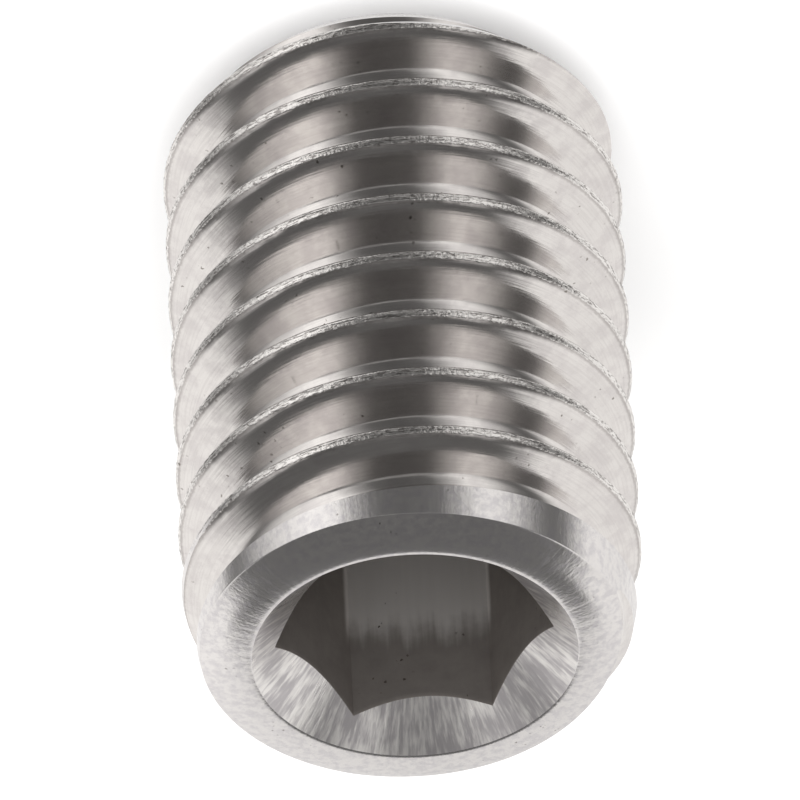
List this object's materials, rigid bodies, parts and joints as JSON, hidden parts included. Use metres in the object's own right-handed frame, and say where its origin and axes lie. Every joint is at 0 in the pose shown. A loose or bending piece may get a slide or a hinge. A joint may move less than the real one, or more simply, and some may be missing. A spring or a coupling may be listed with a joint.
{
  "type": "grub set screw",
  "caption": "Headless metric set screw with a hexagon socket, countersunk mouth, rounded shoulder and flat point; it locks a part on a shaft.",
  "frame": {"origin": "centre of the flat point, at the bottom", "axes": "+Z along the screw's axis from the point to the socket; X and Y are across it, with one pair of the socket's flats square to Y"},
  "size_m": [0.0078, 0.0078, 0.0117],
  "materials": {
    "screw_steel": "bright stainless steel, rolled thread flanks, satin rim and frosted countersink"
  },
  "bodies": {
    "root": {"set_screw": "screw_steel"}
  },
  "joints": []
}
